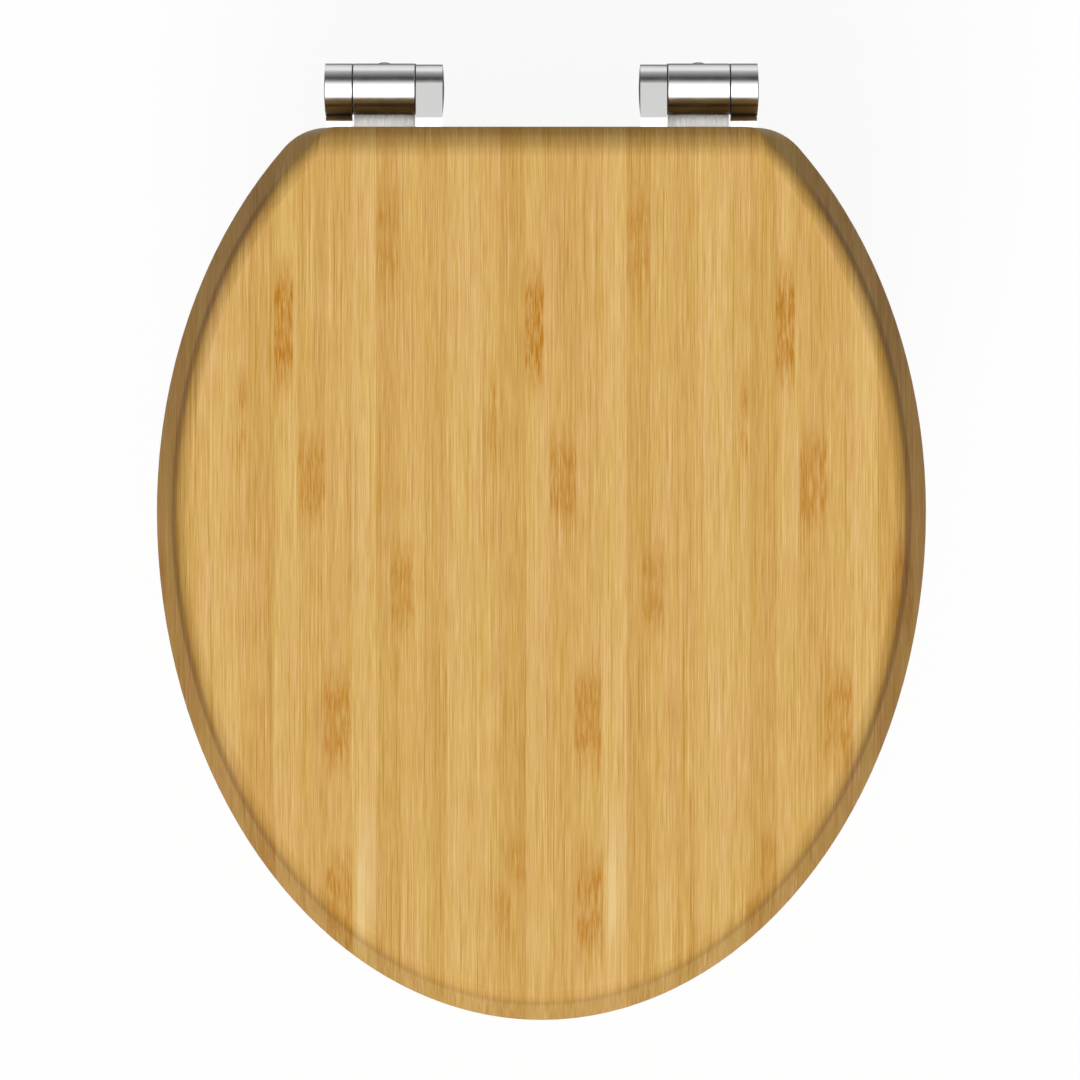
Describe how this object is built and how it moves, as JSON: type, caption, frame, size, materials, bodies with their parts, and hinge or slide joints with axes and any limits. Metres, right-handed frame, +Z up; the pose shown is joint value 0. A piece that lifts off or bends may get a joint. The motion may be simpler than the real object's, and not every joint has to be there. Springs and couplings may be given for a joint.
{
  "type": "toilet seat",
  "caption": "Bamboo toilet seat with an egg-shaped lid and ring, bevelled rim, chromed soft-close hinges with release buttons and bolts for the pan",
  "frame": {"origin": "midway between the two pan bolts, on the plane where the gaskets and feet stand on the pan", "axes": "+X to the right seen from above with the hinges at the top, +Y to the back past the hinges, +Z up"},
  "size_m": [0.375, 0.4684, 0.128],
  "materials": {
    "bamboo": "edge-glued bamboo strips under clear satin lacquer",
    "chrome": "polished chrome plate on zinc castings",
    "stainless": "stainless steel",
    "rubber": "soft grey rubber",
    "plastic": "moulded white nylon",
    "damper_plastic": "black acetal"
  },
  "bodies": {
    "fixing": {"hinge_body_left": "chrome", "hinge_body_right": "chrome", "base_plate_left": "stainless", "base_plate_right": "stainless", "pan_gasket_left": "rubber", "pan_gasket_right": "rubber", "catch_pin_left": "stainless", "catch_pin_right": "stainless", "pan_bolt_left": "stainless", "pan_bolt_right": "stainless", "cone_bush_left": "rubber", "cone_bush_right": "rubber", "wing_nut_left": "plastic", "wing_nut_right": "plastic", "damper_housing_left": "damper_plastic", "damper_housing_right": "damper_plastic", "pivot_pin_left": "stainless", "pivot_pin_right": "stainless", "hinge_washer_outer_left": "damper_plastic", "hinge_washer_outer_right": "damper_plastic", "hinge_washer_inner_left": "damper_plastic", "hinge_washer_inner_right": "damper_plastic", "release_spring_left": "stainless", "release_spring_right": "stainless"},
    "seat": {"seat_ring": "bamboo", "seat_leaf_left": "chrome", "seat_leaf_right": "chrome", "ring_foot_front_left": "rubber", "ring_foot_front_right": "rubber", "ring_foot_rear_left": "rubber", "ring_foot_rear_right": "rubber", "damper_shaft_right": "damper_plastic"},
    "lid": {"lid": "bamboo", "lid_leaf_left": "chrome", "lid_leaf_right": "chrome", "lid_pad_left": "rubber", "lid_pad_right": "rubber", "damper_shaft_left": "damper_plastic"},
    "button_left": {"release_button_left": "chrome"},
    "button_right": {"release_button_right": "chrome"}
  },
  "joints": [
    {"name": "seat_hinge", "type": "hinge", "parent": "fixing", "child": "seat", "pos_m": [0, 0.028, 0.0206], "axis": [-1, 0, 0], "range_deg": [0, 95]},
    {"name": "lid_hinge", "type": "hinge", "parent": "seat", "child": "lid", "pos_m": [0, 0.028, 0.0206], "axis": [-1, 0, 0], "range_deg": [0, 105]},
    {"name": "button_left_press", "type": "slide", "parent": "fixing", "child": "button_left", "axis": [0, -1, 0], "range_m": [0, 0.002], "stiffness_N_per_m": 800, "springref_m": -0.003, "deforming": ["release_spring_left"]},
    {"name": "button_right_press", "type": "slide", "parent": "fixing", "child": "button_right", "axis": [0, -1, 0], "range_m": [0, 0.002], "stiffness_N_per_m": 800, "springref_m": -0.003, "deforming": ["release_spring_right"]}
  ]
}
